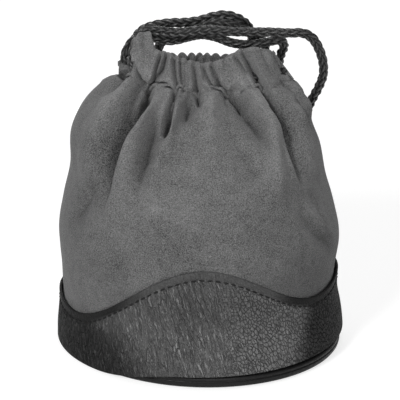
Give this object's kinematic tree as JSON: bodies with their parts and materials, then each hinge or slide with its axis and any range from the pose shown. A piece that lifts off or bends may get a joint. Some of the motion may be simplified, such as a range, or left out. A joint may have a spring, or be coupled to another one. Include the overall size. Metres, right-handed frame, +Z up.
{
  "type": "drawstring pouch",
  "caption": "Soft round pouch for a camera lens: stiff round sole, scalloped leather band, gathered suede sides and a mouth drawn shut by a braided cord with long free ends.",
  "frame": {"origin": "on the floor, at the middle of the pouch's foot", "axes": "+Z up, -Y to the front with the leather band's high wave and the tall left end of the front casing, +X to the front viewer's right"},
  "size_m": [0.1113, 0.1156, 0.1281],
  "materials": {
    "sole": "smooth moulded, slightly shiny",
    "board": "stiff board, plain",
    "foam": "soft foam",
    "suede": "brushed suede, matt",
    "leather": "pebbled grain, satin",
    "cord": "round braid, slightly shiny strands"
  },
  "bodies": {
    "bag": {"sole": "sole", "base_board": "board", "base_pad": "foam", "pad_cover": "suede", "suede_front_panel": "suede", "suede_back_panel": "suede", "leather_band_front": "leather", "leather_band_back": "leather", "cord_right_turn": "cord", "cord_front_end": "cord", "cord_back_end": "cord", "front_end_knot": "cord", "back_end_knot": "cord"},
    "front_rim": {"front_casing": "suede", "cord_front_held": "cord"},
    "back_rim": {"back_casing": "suede", "cord_back_held": "cord"}
  },
  "joints": [
    {"name": "front_rim_slide", "type": "slide", "parent": "bag", "child": "front_rim", "axis": [0, -1, 0], "range_m": [0, 0.006]},
    {"name": "back_rim_slide", "type": "slide", "parent": "bag", "child": "back_rim", "axis": [0, 1, 0], "range_m": [0, 0.006]}
  ],
  "couplings": [
    {"joint": "back_rim_slide", "follows": "front_rim_slide", "ratio": 1}
  ]
}
